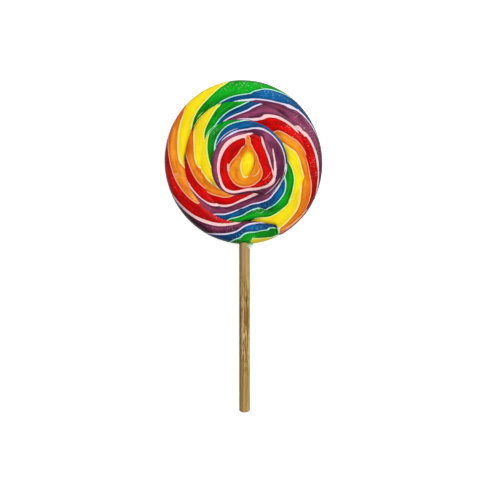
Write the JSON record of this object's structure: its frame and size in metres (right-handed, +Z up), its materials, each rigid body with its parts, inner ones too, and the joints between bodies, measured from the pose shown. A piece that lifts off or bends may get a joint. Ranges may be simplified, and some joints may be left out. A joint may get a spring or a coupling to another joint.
{
  "type": "swirl lollipop",
  "caption": "Flat round lollipop of boiled sugar, a twisted rainbow rope coiled into a disc and pressed flat, on a straight wooden stick, lying face up.",
  "frame": {"origin": "middle of the whole lollipop's box, on the flat back that it lies on", "axes": "+Z up out of the shown face, +Y from the stick's free end towards the disc, +X to the right of the shown face"},
  "size_m": [0.0796, 0.1676, 0.0086],
  "materials": {
    "candy": "glossy boiled sugar in red, orange, yellow, green, blue and purple stripes parted by thin pale lines",
    "stick": "plain untreated dowel, tan with long darker grain, cut square with worn edges"
  },
  "bodies": {
    "root": {"candy": "candy", "stick": "stick"}
  },
  "joints": []
}
